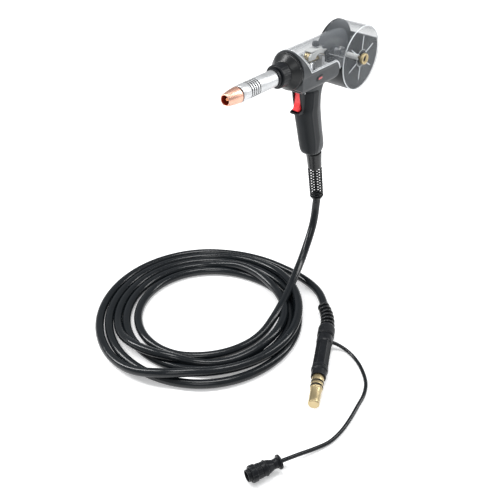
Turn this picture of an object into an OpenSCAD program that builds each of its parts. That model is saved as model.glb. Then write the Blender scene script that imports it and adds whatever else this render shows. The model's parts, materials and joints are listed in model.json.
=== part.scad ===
// MIG welding spool gun with its power lead, control lead and plugs.
// +Z is up, the barrel points along -X and the clear spool cap faces -Y.
// The origin is the middle of the hand grip, on the gun's middle plane.

/* [Barrel] */
// Diameter of the gas nozzle at its open end
nozzle_tip_d = 19; // [17:0.5:20]
// Diameter of the gas nozzle where it meets the barrel
nozzle_rear_d = 26.6; // [26:0.2:28]
// Length of the gas nozzle
nozzle_len = 28.5; // [26:0.5:32]
// Outer diameter of the barrel tube
tube_d = 28; // [27:0.5:29]
// Length of the barrel tube in front of the black nose pieces
tube_len = 85; // [80:1:90]
// Number of grooves turned in the barrel tube
groove_count = 5; // [3:1:5]
// Diameter of the ridged collar
collar_d = 37; // [36:1:40]

/* [Body] */
// Diameter of the round upper body and of the clear drive cover
body_d = 66; // [64:1:68]
// Wall thickness of the moulded shells
wall = 2.5; // [2:0.1:3]
// Wall thickness of the clear mouldings
clear_wall = 2; // [1.6:0.1:2.2]
// Height of the round body's middle above the middle of the grip
body_h = 115; // [112:1:118]
// How far the barrel axis lies below the body's middle
barrel_drop = 2; // [0:0.5:3]

/* [Grip] */
// Width of the grip, side to side
grip_w = 36; // [34:1:38]
// Depth of the grip, front to back
grip_depth = 45; // [43:1:47]
// Rearward lean of the grip
grip_rake = 14.8; // [13:0.1:16]
// Width of the trigger
trigger_w = 12; // [11:0.5:13]

/* [Spool drum] */
// Outer diameter of the spool drum
drum_d = 116; // [112:1:120]
// Width of the spool drum, housing and cap together
drum_w = 62; // [58:1:64]
// Diameter of the brass spindle knob
knob_d = 20; // [18:0.5:22]
// Diameter of the spool spindle
spindle_d = 10; // [9:0.5:12]

/* [Leads] */
// Diameter of the power lead
lead_d = 16; // [15:0.5:16]
// Diameter of the control lead
control_d = 6.5; // [6:0.1:7]
// Diameter of the brass power pin
pin_d = 19; // [18:0.1:20]
// Height of the grip's middle above the surface that the lead lies on
rest_h = 330; // [325:1:335]

/* [Hidden] */
$fn = 72;

// Colours
dark_grey = [0.22, 0.23, 0.24];
black = [0.06, 0.06, 0.07];
copper = [0.80, 0.45, 0.30];
brass = [0.78, 0.62, 0.32];
steel = [0.75, 0.76, 0.78];
white = [0.85, 0.85, 0.84];
red = [0.86, 0.12, 0.12];
clear = [0.85, 0.88, 0.90, 0.35];

// The flange plane, where the black nose meets the body, is the gun's own zero
flange_x = -75;
body_r = body_d / 2;
side_y = 31.5;
belly_z = -38;
belly_corner = 10;
lip_z = -3.7;
eps = 0.01;

// Stations along the barrel, measured forward from the flange as negative numbers
ring_front = -41;
collar_front = -34;
dome_front = -14;
dome_rear = -2;
nose_r = 31;
tube_front = ring_front - tube_len + 1;
nozzle_rear = tube_front - 1.6;
conductor_d = 9;
tube_bore_d = 24.4;
diffuser_d = 14;
sleeve_d = 20.8;

// Spool drum
drum_r = drum_d / 2;
drum_x = 178;
drum_z = -21;
drum_wall_from = 24;
drum_wall_to = 165;

// Grip: its middle line leans back from a point under the body
grip_top_x = 53;
grip_top_z = -30;
grip_len = 153;

// Feed unit
roll_x = 60;
drive_roll_r = 12;
idler_roll_r = 9;
wire_r = 0.5;
arm_pivot = [94, 9];
tension_x = 77;
shaft_d = 6;

// Trigger
trigger_pivot = [40, -51];
trigger_pin_d = 3;

// Spool spindle and its knob
spindle_tip_y = -25;
stud_d = 5;

// Leads, plugs and the floor
floor_z = -rest_h;
lead_z = floor_z + lead_d / 2;
relief_top = [15, 0, -70];
relief_end = [35, 0, -178];
coil_x = -252;
coil_y = 50;
coil_r_in = 114;
coil_r_out = 203;
plug_d = 30;
plug_z = floor_z + plug_d / 2;
plug_tip_x = -307.7;
plug_tip_y = -250.1;
plug_turn = 28.5;
pin_len = 60.5;
plug_len = 101.5;
ring_len = 30;
plug_relief_len = 50;
connector_x = -429;
connector_y = -277;
connector_turn = 158;
connector_d = 26;
connector_z = floor_z + connector_d / 2 + 1;

// Route of the power lead from the strain relief down to the coil's inner turn
lead_route = [[35, 0, -178], [33, 0, -196], [30, -2, -212], [24, -4, -230], [13, -7, -248],
              [-3, -11, -266], [-24, -17, -281], [-48, -24, -292], [-76, -34, -301],
              [-104, -44, -305], [-134, -55, -307], [-164, -64, -310], [-196, -71, -315],
              [-226, -74, -321], [-256, -72, -322], [-286, -64, -322]];

// Route of the power lead from the coil's outer turn to the plug
tail_route = [[-50, 66, -322], [-44, 32, -322], [-42, -12, -322], [-48, -54, -321], [-62, -92, -318],
              [-78, -118, -315.5], [-95, -134, -315]];

// Route of the control lead from the plug body to its connector
control_route = [[-164.5, -190.5, -318], [-160, -200, -322], [-157, -212, -325.5],
                 [-161, -228, -326.7], [-170, -247, -326.7], [-184, -266, -326.7],
                 [-203, -284, -326.7], [-226, -295, -326.7], [-254, -301, -326.7],
                 [-286, -307, -326.7], [-317, -310, -326.7], [-344, -308, -326.5],
                 [-370, -299, -325], [-396, -289, -321], [-414, -283, -317.5],
                 [-429, -277, -316]];

// ---------- helpers ----------

// Moves from the body's own zero, at its flange, to the row's frame
module gun() {
    translate([flange_x, 0, body_h]) children();
}

// The same for what lies along the barrel axis: the barrel and the feed unit
module nose() {
    translate([flange_x, 0, body_h - barrel_drop]) children();
}

// A cylinder along X
module rod_x(from, to, d, z = 0) {
    translate([from, 0, z]) rotate([0, 90, 0]) cylinder(h = to - from, d = d);
}

// A cylinder along Y, at a place in the side view
module rod_y(from, to, d, at) {
    translate([at[0], to, at[1]]) rotate([90, 0, 0]) cylinder(h = to - from, d = d);
}

// A ring along X
module ring_x(from, to, d, bore) {
    difference() {
        rod_x(from, to, d);
        rod_x(from - 1, to + 1, bore);
    }
}

// A solid turned about the X axis, from (distance forward, radius) points
module turned_x(points) {
    rotate([0, -90, 0]) rotate_extrude() polygon([for (p = points) [p[1], -p[0]]]);
}

// A plate with a side-view outline, from one side to the other
module side_plate(points, from, to) {
    translate([0, to, 0]) rotate([90, 0, 0]) linear_extrude(to - from) polygon(points);
}

// A box given by its lowest and highest corners
module box(low, high) {
    translate(low) cube(high - low);
}

// A rectangle with round corners, centred
module round_rect(w, h, r) {
    square([w - 2 * r, h], center = true);
    square([w, h - 2 * r], center = true);
    for (i = [-1, 1], j = [-1, 1]) {
        translate([i * (w / 2 - r), j * (h / 2 - r)]) circle(r);
    }
}

// Points of an arc
function arc(c, r, from, to, n) =
    [for (i = [0 : n]) let (a = from + (to - from) * i / n) c + r * [cos(a), sin(a)]];

// One closed tube swept along a route, with flat ends
function unit(v) = v / norm(v);
function heading(p, i) = unit(p[min(i + 1, len(p) - 1)] - p[max(i - 1, 0)]);
// Catmull-Rom point between route points i and i + 1
function spline(p, i, u) =
    let (a = p[max(i - 1, 0)], b = p[i], c = p[i + 1], d = p[min(i + 2, len(p) - 1)])
    0.5 * (2 * b + (c - a) * u + (2 * a - 5 * b + 4 * c - d) * u * u
           + (3 * b - a - 3 * c + d) * u * u * u);
function smooth_route(p, n) =
    concat([for (i = [0 : len(p) - 2], k = [0 : n - 1]) spline(p, i, k / n)], [p[len(p) - 1]]);

// The side given must never lie along the route
module swept(route, d, side) {
    sides = 10;
    count = len(route);
    rings = [for (i = [0 : count - 1])
        let (t = heading(route, i), s = unit(cross(t, side)), u = cross(s, t))
        for (k = [0 : sides - 1])
            route[i] + d / 2 * (cos(360 * k / sides) * s + sin(360 * k / sides) * u)];
    walls = [for (i = [0 : count - 2], k = [0 : sides - 1])
        let (m = (k + 1) % sides)
        each [[i * sides + k, i * sides + m, (i + 1) * sides + m],
              [i * sides + k, (i + 1) * sides + m, (i + 1) * sides + k]]];
    ends = [[for (k = [sides - 1 : -1 : 0]) k],
            [for (k = [0 : sides - 1]) (count - 1) * sides + k]];
    polyhedron(rings, concat(walls, ends));
}

// ---------- nose ----------

function nozzle_r(u) = nozzle_rear_d / 2 - (nozzle_rear_d - nozzle_tip_d) / 2 * pow(u, 1.7);

module gas_nozzle() {
    steps = 10;
    bore_r = 6.8;
    sleeve_r = sleeve_d / 2 + 0.05;
    sleeve_depth = 12;
    tip = nozzle_rear - nozzle_len;
    outer = [for (i = [0 : steps]) [nozzle_rear - nozzle_len * i / steps, nozzle_r(i / steps)]];
    inner = [[tip, bore_r], [tip + 10, bore_r + 0.6], [nozzle_rear - sleeve_depth, sleeve_r],
             [nozzle_rear, sleeve_r]];
    color(copper) nose() turned_x(concat(outer, inner));
}

module contact_tip() {
    front = nozzle_rear - nozzle_len + 5;
    back = nozzle_rear - 4;
    color(copper) nose() difference() {
        turned_x([[back, 0], [back, 4], [front + 4, 4], [front, 2.6], [front, 0]]);
        rod_x(front - 1, back + 1, 1.4);
    }
}

module gas_diffuser() {
    front = nozzle_rear - 4;
    back = tube_front + 16;
    holes = 4;
    color(brass) nose() difference() {
        rod_x(front, back, diffuser_d);
        rod_x(front + 12, back + 1, conductor_d + 0.1);
        rod_x(front - 1, back, 3);
        for (i = [0 : holes - 1]) rotate([360 / holes * i, 0, 0]) {
            translate([front + 8, 0, 0]) cylinder(h = diffuser_d, d = 2);
        }
    }
}

module nozzle_insulator() {
    color(black) nose() difference() {
        union() {
            rod_x(nozzle_rear - 11, nozzle_rear, sleeve_d);
            rod_x(nozzle_rear, tube_front, nozzle_rear_d - 1.2);
            rod_x(tube_front, tube_front + 13, tube_bore_d - 0.1);
        }
        rod_x(nozzle_rear - 12, tube_front + 14, diffuser_d + 0.1);
    }
}

module barrel_tube() {
    groove_step = 5;
    groove_w = 2.2;
    groove_depth = 0.8;
    first = tube_front + 18;
    stop_line = -50;
    color(steel) nose() difference() {
        rod_x(tube_front, dome_front + 2, tube_d - 0.1);
        rod_x(tube_front - 1, dome_front + 3, tube_bore_d);
        for (i = [0 : groove_count - 1]) {
            ring_x(first + groove_step * i, first + groove_step * i + groove_w,
                   tube_d + 2, tube_d - 2 * groove_depth);
        }
        ring_x(stop_line, stop_line + 2, tube_d + 2, tube_d - 0.6);
    }
}

module conductor_tube() {
    color(brass) nose() ring_x(tube_front + 10, 26, conductor_d, 3);
}

module barrel_screw() {
    color(steel) nose() translate([ring_front - 3, 0, -tube_d / 2]) rotate([180, 0, 0]) difference() {
        cylinder(h = 2.6, d = 4.4, $fn = 32);
        translate([0, 0, 1.2]) cylinder(h = 2, d = 2.2, $fn = 6);
    }
}

module barrel_ring() {
    color(black) nose() ring_x(ring_front, collar_front, tube_d + 3, tube_d);
}

module barrel_collar() {
    ridges = 24;
    color(black) nose() difference() {
        turned_x([[dome_front, tube_d / 2], [dome_front, collar_d / 2], [collar_front, collar_d / 2 - 1.5],
                  [collar_front, tube_d / 2]]);
        for (i = [0 : ridges - 1]) rotate([360 / ridges * i, 0, 0]) {
            translate([collar_front + 4, 0, collar_d / 2 + 0.7]) rotate([0, 90, 0])
                cylinder(h = dome_front - collar_front, d = 2.6, $fn = 16);
        }
    }
}

module front_dome() {
    steps = 12;
    depth = dome_rear - dome_front;
    rise = nose_r - collar_d / 2 + 2;
    outer = [for (i = [0 : steps]) let (a = 90 * i / steps)
        [dome_rear - depth * cos(90 - a), collar_d / 2 - 2 + rise * cos(a)]];
    inner = [[dome_front, tube_d / 2], [dome_front + 3, tube_d / 2], [dome_front + 3, tube_d / 2 + 1],
             [dome_rear, nose_r - 4]];
    color(black) nose() turned_x(concat(outer, inner));
}

module bayonet_ring() {
    back = 1.5;
    slot = [5, 9, 3];
    color(black) nose() difference() {
        ring_x(dome_rear, back, 2 * nose_r + 2, 2 * nose_r - 10);
        for (a = [45, 135, 225, 315]) rotate([a, 0, 0]) {
            translate([dome_rear + 1, -slot[1] / 2, nose_r - 0.5]) cube(slot);
        }
    }
}

// ---------- body ----------

// The body's cross-section: round above, flat-sided below
module body_section(inset = 0) {
    corner = belly_corner - inset;
    circle(body_r - inset);
    square_w = 2 * (side_y - inset);
    translate([0, (belly_z + inset) / 2]) square([square_w - 2 * corner, -belly_z - inset], center = true);
    translate([-square_w / 2, belly_z + inset + corner])
        square([square_w, -belly_z - inset - corner]);
    for (i = [-1, 1]) translate([i * (square_w / 2 - corner), belly_z + inset + corner]) circle(corner);
}

module body_bar(from, to, inset = 0) {
    translate([from, 0, 0]) rotate([90, 0, 90]) linear_extrude(to - from) body_section(inset);
}

// The swept line where the clear cover meets the body's front, from top to lip
function front_line(gap) =
    [for (i = [0 : 8]) let (u = i / 8) [3 + gap + 21 * pow(u, 1.3), 36 - (36 - lip_z) * u]];

// Side outline of the moulded body
function body_outline() =
    concat([[1.5, 36]], front_line(0), [[96, lip_z], [104, -9], [109, -20], [107, -29], [94, -45],
            [20, -45], [8, belly_z], [1.5, -30]]);

// The way down from the body into the grip, for the gearbox and the wiring
module gear_window() {
    box([36, -13.5, -46], [78, 13.5, -30]);
}

module body_half(side) {
    depth = body_r + 1;
    color(dark_grey) gun() difference() {
        intersection() {
            body_bar(1.5, 110);
            side_plate(body_outline(), side < 0 ? -depth : 0, side < 0 ? 0 : depth);
        }
        body_bar(1.5 + wall, 120, wall);
        rod_x(0, 10, body_d - 12);
        grip_solid(0.2);
        gear_window();
        box([96, -21, -60], [120, 21, 10]);
        if (side > 0) for (p = body_screw_places) rod_y(20, 40, 3.4, p);
        if (side > 0) for (p = body_screw_places) rod_y(side_y - 2, 40, 6.4, p);
    }
}

module body_left() {
    body_half(-1);
}

module body_right() {
    body_half(1);
}

// ---------- grip ----------

// Moves to the grip's own line, with -Z running down the grip
module on_grip() {
    translate([grip_top_x, 0, grip_top_z]) rotate([0, -grip_rake, 0]) children();
}

// Side outline of the grip, with a tang under the body and a heel at the bottom
function grip_outline(inset) =
    [[22 + inset, -36 - inset], [36 + inset, -90], [55 + inset, -160], [60 + inset, -175 + inset],
     [70, -181 + inset], [92 - inset, -182 + inset], [102 - inset, -177 + inset],
     [110 - inset, -164], [100 - inset, -120], [88.5 - inset, -72], [91 - inset, -56],
     [98 - inset, -44], [108 - inset, -36 - inset]];

// The grip: a round-cornered bar, with a narrower tang and heel behind it
module grip_solid(grow = 0, inset = 0) {
    change = inset - grow;
    intersection() {
        union() {
            on_grip() translate([0, 0, -grip_len - 10]) linear_extrude(grip_len + 20)
                round_rect(grip_depth + 1 - 2 * change, grip_w - 2 * change, 13.5 - change);
            on_grip() translate([8, 0, -grip_len - 10]) linear_extrude(grip_len + 20)
                round_rect(grip_depth - 2 * change, grip_w - 10 - 2 * change, 12 - change);
        }
        side_plate(grip_outline(change), -grip_w, grip_w);
    }
}

module grip_half(side) {
    color(dark_grey) gun() difference() {
        intersection() {
            grip_solid();
            box([0, side < 0 ? -30 : 0, -200], [130, side < 0 ? 0 : 30, -30]);
        }
        grip_solid(0, wall);
        box([0, -9.8, -89], [48, 9.8, -30]);
        gear_window();
        rod_y(-13, 13, 8, trigger_pivot);
        on_grip() translate([3, 0, -grip_len - 20]) cylinder(h = 60, d = 26);
        if (side > 0) for (p = grip_screw_places) rod_y(4, 30, 3.4, p);
        if (side > 0) for (p = grip_screw_places) rod_y(grip_w / 2 - 2, 30, 6.4, p);
    }
}

module handle_left() {
    grip_half(-1);
}

module handle_right() {
    grip_half(1);
}

// Soft panel wrapped round the front of the grip
module grip_overmould() {
    proud = 1;
    outline = [[30, -52], [50, -52], [58, -62], [84, -158], [80, -172], [66, -185], [40, -186], [20, -90]];
    color(black) gun() difference() {
        intersection() {
            grip_solid(proud);
            side_plate(outline, -grip_w, grip_w);
        }
        grip_solid(0.02);
        box([0, -10.2, -90], [50, 10.2, -30]);
        for (p = grip_screw_places) rod_y(10, 30, 7, p);
    }
}

module badge_plate() {
    tilt = 3;
    color(black) gun() translate([50, -side_y, -20]) rotate([90, tilt, 0]) {
        linear_extrude(1) {
            square([12, 8], center = true);
            for (i = [-1, 1]) translate([6 * i, 0]) circle(4);
        }
    }
}

body_screw_places = [[14, -24], [40, -12], [88, -24]];
grip_screw_places = [[53, -95], [94, -142]];

module shell_screws() {
    color(steel) gun() {
        for (p = body_screw_places) screw_at(p, side_y);
        for (p = grip_screw_places) screw_at(p, grip_w / 2);
    }
}

// A pan-head screw sunk in a shell, with a hex socket
module screw_at(p, face_y) {
    difference() {
        union() {
            rod_y(face_y - 12, face_y - 1.9, 3, p);
            rod_y(face_y - 2, face_y - 0.3, 6, p);
        }
        rod_y(face_y - 1.5, face_y + 1, 2.6, p, $fn = 6);
    }
}

// ---------- clear drive cover ----------

// Side outline of the cover: over the feed unit and back to the drum
function cover_outline(gap) =
    concat([[3 + gap, 40]], front_line(gap), [[96 + gap, lip_z + gap], [104 + gap, -9 + gap],
            [109 + gap, -20], [118, -20], [118, 0], [160, 20], [160, 40]]);

module drive_cover() {
    gap = 0.4;
    depth = body_r + 1;
    color(clear) gun() difference() {
        intersection() {
            body_bar(2, 165);
            side_plate(cover_outline(gap), -depth, depth);
        }
        body_bar(0, 170, clear_wall);
        rod_y(-depth, depth, drum_d + 1, [drum_x, drum_z]);
    }
}

// ---------- spool drum ----------

// A wedge of angles in the side view, for cutting the drum's walls
module drum_wedge(from, to, r) {
    translate([drum_x, drum_r + 40, drum_z]) rotate([90, 0, 0]) linear_extrude(2 * drum_r + 80)
        polygon(concat([[0, 0]], arc([0, 0], r, from, to, 12)));
}

module drum_ring(from, to, outer, inner) {
    difference() {
        rod_y(from, to, outer, [drum_x, drum_z]);
        rod_y(from - 1, to + 1, inner, [drum_x, drum_z]);
    }
}

module spool_housing() {
    half = drum_w / 2;
    color(dark_grey) gun() difference() {
        union() {
            rod_y(half - wall, half, drum_d, [drum_x, drum_z]);
            intersection() {
                drum_ring(-half + 2.4, half, drum_d, drum_d - 2 * wall);
                drum_wedge(drum_wall_to, drum_wall_from + 360, 90);
            }
            box([98, -20, -35], [122.5, 20, -20.5]);
        }
        rod_y(0, half + 1, 6.1, [drum_x, drum_z]);
    }
}

module spool_cap() {
    half = drum_w / 2;
    rib_count = 6;
    rib_turn = 26;
    color(clear) gun() {
        difference() {
            union() {
                rod_y(-half, -half + clear_wall, drum_d, [drum_x, drum_z]);
                intersection() {
                    drum_ring(-half, half - wall - 0.3, drum_d, drum_d - 2 * clear_wall);
                    drum_wedge(drum_wall_from + 0.5, drum_wall_to - 0.5, 90);
                }
                rod_y(-half - 1.5, -half, 30, [drum_x, drum_z]);
                for (i = [0 : rib_count - 1]) {
                    translate([drum_x, -half, drum_z]) rotate([0, 60 * i + rib_turn, 0])
                        translate([16, -0.8, -0.8]) cube([23, 0.8 + eps, 1.6]);
                }
            }
            rod_y(-half - 3, 0, spindle_d + 0.6, [drum_x, drum_z]);
        }
    }
}

module spool_spindle() {
    half = drum_w / 2;
    color(white) gun() difference() {
        union() {
            rod_y(spindle_tip_y, half - wall, spindle_d, [drum_x, drum_z]);
            rod_y(half - wall - 3, half - wall, 24, [drum_x, drum_z]);
            rod_y(half - wall, half + 2, 6, [drum_x, drum_z]);
            rod_y(half, half + 3, 11, [drum_x, drum_z]);
        }
        rod_y(spindle_tip_y - 1, spindle_tip_y + 24, stud_d + 0.1, [drum_x, drum_z]);
    }
}

module spindle_knob() {
    half = drum_w / 2;
    front = -half - 9.5;
    grips = 20;
    color(brass) gun() difference() {
        union() {
            rod_y(front, -half - 1.8, knob_d, [drum_x, drum_z]);
            rod_y(-half - 2.5, spindle_tip_y + 18, stud_d, [drum_x, drum_z]);
        }
        rod_y(front - 1, front + 4, knob_d - 6, [drum_x, drum_z]);
        for (i = [0 : grips - 1]) translate([drum_x, 0, drum_z]) rotate([0, 360 / grips * i, 0])
            rod_y(front - 1, -half - 4, 1.6, [knob_d / 2 + 0.3, 0], $fn = 16);
    }
}

module brake_spring() {
    half = drum_w / 2;
    turns = 5;
    pitch = 2;
    color(steel) gun() for (i = [0 : turns - 1]) {
        translate([drum_x, half - wall - 4.2 - pitch * i, drum_z]) rotate([90, 0, 0])
            rotate_extrude() translate([spindle_d / 2 + 1.2, 0]) circle(0.9, $fn = 16);
    }
}

module brake_washer() {
    front = drum_w / 2 - wall - 16;
    color(steel) gun() difference() {
        rod_y(front, front + 1.5, 22, [drum_x, drum_z]);
        rod_y(front - 1, front + 3, spindle_d + 0.1, [drum_x, drum_z]);
    }
}

// ---------- feed unit ----------

module feed_frame() {
    plate = [[26, -17], [110, -17], [114, -8], [114, 2], [108, 12], [98, 16], [88, 14], [84, 4],
             [40, 4], [34, 10], [26, 6]];
    color(white) nose() difference() {
        union() {
            side_plate(plate, 7.5, 12.5);
            box([30, -13, -14], [40, 7.5, 6]);
            box([84, -10.5, -14], [92, 7.5, 5.5]);
            box([26, -15, -17], [110, 15, -14]);
        }
        rod_x(20, 100, 8);
        rod_y(0, 20, shaft_d + 0.1, [roll_x, -drive_roll_r]);
        rod_y(0, 20, 4.1, arm_pivot);
        box([roll_x - 13.5, -14.9, -18], [roll_x + 13.5, 7.4, 0]);
    }
}

module gearbox() {
    color(steel) nose() difference() {
        union() {
            box([44, -13, -41], [74, 13, -25.5]);
            rod_y(8, 13, 26, [roll_x, -26]);
        }
        rod_y(0, 20, 10, [roll_x, -30]);
        box([40, -16, -26], [80, 16, -10]);
    }
}

module drive_motor() {
    color(steel) gun() on_grip() translate([8, 0, -78]) {
        cylinder(h = 54, d = 22);
        translate([0, 0, 54]) cylinder(h = 6, d = 12);
        translate([0, 0, -4]) cylinder(h = 4, d = 8);
    }
}

// A grooved feed roll on its shaft
module drive_roll() {
    color(steel) nose() difference() {
        union() {
            rod_y(-7, 7, 2 * (drive_roll_r - wire_r), [roll_x, -drive_roll_r]);
            rod_y(-9, 14.5, shaft_d, [roll_x, -drive_roll_r]);
        }
        translate([roll_x, 0, -drive_roll_r]) rotate([90, 0, 0]) rotate_extrude()
            translate([drive_roll_r - wire_r, 0]) circle(0.8, $fn = 16);
    }
}

module idler_roll() {
    color(brass) nose() difference() {
        rod_y(-5, 5, 2 * (idler_roll_r - wire_r), [roll_x, idler_roll_r]);
        rod_y(-6, 6, 4.1, [roll_x, idler_roll_r]);
    }
}

// The arm that presses the idler roll on the wire, hinged at its rear end
module pressure_arm() {
    outline = [[50, 5], [50, 12], [56, 17], [68, 18], [84, 17], [98, 14], [101, 8], [97, 3.5],
               [91, 6.5], [80, 12], [70, 11], [66, 5]];
    color(white) nose() difference() {
        union() {
            side_plate(outline, -9, -5.5);
            side_plate(outline, 5.5, 7.2);
            box([54, -9, 14.5 + wire_r + 3.5], [84, 7.2, 20.5]);
            box([70, -9, 13], [84, 7.2, 20.5]);
            rod_y(-5.5, 5.5, 4, [roll_x, idler_roll_r]);
        }
        rod_y(-12, 12, 4.1, arm_pivot);
        translate([tension_x, 0, 5]) cylinder(h = 20, d = 5);
    }
}

module arm_pin() {
    color(black) nose() {
        rod_y(-11, 12.5, 4, arm_pivot);
        rod_y(-14, -11, 11, arm_pivot);
    }
}

module tension_screw() {
    color(steel) nose() translate([tension_x, 0, 12]) {
        cylinder(h = 17, d = 3);
        cylinder(h = 0.8, d = 4.6);
    }
}

module tension_spring() {
    color(steel) nose() for (i = [0 : 1]) translate([tension_x, 0, 21.2 + 1.4 * i])
        rotate_extrude() translate([3.2, 0]) circle(0.65, $fn = 16);
}

module tension_knob() {
    color(black) nose() translate([tension_x, 0, 23.6]) difference() {
        cylinder(h = 7, d = 12);
        translate([0, 0, -1]) cylinder(h = 7, d = 3.1);
        for (i = [0 : 9]) rotate([0, 0, 36 * i]) translate([6.6, 0, -1])
            cylinder(h = 9, d = 2.4, $fn = 16);
    }
}

module inlet_guide() {
    color(brass) nose() difference() {
        union() {
            rod_x(76, 98, 7.8);
            rod_x(94, 98, 12, $fn = 6);
            turned_x([[76, 0], [76, 3.9], [70, 1.6], [70, 0]]);
        }
        rod_x(60, 100, 1.8);
    }
}

module outlet_guide() {
    color(brass) nose() difference() {
        union() {
            rod_x(26.2, 46, 7.8);
            rod_x(26.2, 30, 12, $fn = 6);
            turned_x([[50, 0], [50, 1.6], [46, 3.9], [46, 0]]);
        }
        rod_x(20, 52, 1.8);
    }
}

module power_block() {
    color(brass) nose() difference() {
        box([10, -9, -20], [25.5, 9, 7]);
        rod_x(0, 30, conductor_d);
        translate([18, 0, -24]) cylinder(h = 14, d = 6);
    }
}

// ---------- trigger ----------

module trigger_surround() {
    frame = [[25, -38], [29, -60], [34, -80], [23.5, -83], [23.5, -87], [47, -88.5], [47, -52], [35, -47],
             [35, -38]];
    color(black) gun() difference() {
        side_plate(frame, -9.5, 9.5);
        box([10, -trigger_w / 2 - 0.5, -84.2], [60, trigger_w / 2 + 0.5, -46.5]);
        rod_y(-20, 20, trigger_pin_d, trigger_pivot);
        rod_x(-5, 40, body_d);
    }
}

module trigger() {
    outline = [[36, -47], [31.5, -49], [31, -58], [31, -68], [28, -75], [25.5, -80.5], [27, -81.8],
               [40, -81.8], [43, -76], [44, -52], [42, -47.2]];
    color(red) gun() difference() {
        side_plate(outline, -trigger_w / 2, trigger_w / 2);
        rod_y(-10, 10, trigger_pin_d + 0.1, trigger_pivot);
    }
}

module trigger_pin() {
    color(steel) gun() rod_y(-9.4, 9.4, trigger_pin_d, trigger_pivot);
}

module trigger_spring() {
    color(steel) gun() for (i = [0 : 1]) translate([trigger_pivot[0], 10.6 + 1.1 * i, trigger_pivot[1]])
        rotate([90, 0, 0]) rotate_extrude() translate([2.4, 0]) circle(0.5, $fn = 12);
}

module trigger_switch() {
    color(black) gun() {
        box([51, -5, -80], [58, 5, -62]);
        rod_x(49, 51, 3, -66);
    }
}

// ---------- strain relief and leads ----------

module lead_clamp() {
    color(steel) gun() on_grip() translate([3, 0, -grip_len + 4]) difference() {
        cylinder(h = 10, d = 25.8);
        translate([0, 0, -1]) cylinder(h = 12, d = lead_d);
    }
}

// Moves to the strain relief's line, with +Z running up towards the grip
module on_relief() {
    lean = atan2(relief_end[0] - relief_top[0], relief_top[2] - relief_end[2]);
    translate(relief_end) rotate([0, -lean, 0]) children();
}

module strain_relief() {
    length = norm(relief_top - relief_end);
    slots = 8;
    slot_step = 7.5;
    color(black) on_relief() difference() {
        union() {
            cylinder(h = 78, d1 = 22, d2 = 25, $fn = 72);
            translate([0, 0, 78]) cylinder(h = length - 78, d = 25);
        }
        translate([0, 0, 1]) cylinder(h = length, d = lead_d + 1);
        cylinder(h = 10, d = lead_d, center = true);
        for (i = [0 : slots - 1], side = [-1, 1]) {
            translate([0, 11 * side, 7 + slot_step * i + (side > 0 ? slot_step / 2 : 0)])
                cube([30, 10, 2.6], center = true);
        }
    }
}

module power_lead() {
    color(black) swept(smooth_route(lead_route, 2), lead_d, [0, 1, 0]);
}

module power_coil() {
    color(black) translate([coil_x, coil_y, floor_z]) rotate_extrude()
        translate([coil_r_in, 0]) square([coil_r_out - coil_r_in, lead_d]);
}

module power_tail() {
    color(black) swept(smooth_route(tail_route, 2), lead_d, [0, 0, 1]);
}

// Moves to the plug's axis, with +Z running from its brass tip back to the lead
module on_plug() {
    translate([plug_tip_x, plug_tip_y, plug_z]) rotate([0, 0, plug_turn]) rotate([0, 90, 0]) children();
}

module power_pin() {
    color(brass) on_plug() difference() {
        union() {
            cylinder(h = pin_len - 26, d = pin_d);
            translate([0, 0, pin_len - 26]) cylinder(h = 26, d = pin_d + 2);
        }
        for (z = [pin_len - 23.5, pin_len - 14]) translate([0, 0, z]) difference() {
            cylinder(h = 3, d = pin_d + 4);
            translate([0, 0, -1]) cylinder(h = 5, d = pin_d - 1.2);
        }
        translate([0, 0, -1]) cylinder(h = 20, d = 5);
        translate([0, 0, -1]) cylinder(h = pin_len + 2, d = 2);
    }
}

module pin_o_rings() {
    color(black) on_plug() for (z = [pin_len - 22, pin_len - 12.5]) translate([0, 0, z])
        rotate_extrude() translate([(pin_d - 1.2) / 2 + 1.4, 0]) circle(1.4, $fn = 24);
}

module plug_body() {
    ribs = 16;
    color(black) on_plug() translate([0, 0, pin_len]) difference() {
        union() {
            cylinder(h = 13.5, d = plug_d - 4);
            translate([0, 0, 13.5]) cylinder(h = plug_len - 13.5, d = plug_d - 2);
            translate([0, 0, 15.5]) cylinder(h = 5, d = plug_d);
            translate([0, 0, 47.5]) cylinder(h = 3, d = plug_d - 0.6);
        }
        for (i = [0 : ribs - 1]) rotate([0, 0, 360 / ribs * i])
            translate([plug_d / 2 - 0.4, 0, 23.5]) cylinder(h = 22, d = 2.6, $fn = 12);
    }
}

module plug_ring() {
    grips = 24;
    color(black) on_plug() translate([0, 0, pin_len + plug_len]) difference() {
        union() {
            cylinder(h = ring_len - 4, d = plug_d);
            translate([0, 0, ring_len - 4]) cylinder(h = 4, d1 = plug_d, d2 = plug_d - 6);
        }
        for (i = [0 : grips - 1]) rotate([0, 0, 360 / grips * i])
            translate([plug_d / 2 + 0.3, 0, 5]) cylinder(h = ring_len - 12, d = 2, $fn = 12);
    }
}

module plug_strain_relief() {
    rings = 6;
    step = 7.5;
    core_d = 19;
    color(black) on_plug() translate([0, 0, pin_len + plug_len + ring_len]) difference() {
        union() {
            cylinder(h = plug_relief_len, d = core_d);
            for (i = [0 : rings - 1]) translate([0, 0, 2 + step * i]) cylinder(h = 5, d = 26 - 0.7 * i);
        }
        translate([0, 0, 1]) cylinder(h = plug_relief_len, d = lead_d);
    }
}

module control_lead() {
    color(black) swept(smooth_route(control_route, 2), control_d, [0, 0, 1]);
}

// Moves to the control connector's axis, with +Z running from the lead to its face
module on_connector() {
    translate([connector_x, connector_y, connector_z]) rotate([0, 0, connector_turn])
        rotate([0, 90, 0]) children();
}

module control_clamp() {
    color(black) on_connector() difference() {
        union() {
            cylinder(h = 3, d = 23);
            translate([0, 0, 3]) cylinder(h = 9, d = 15);
        }
        translate([0, 0, -1]) cylinder(h = 14, d = control_d);
    }
}

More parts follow.
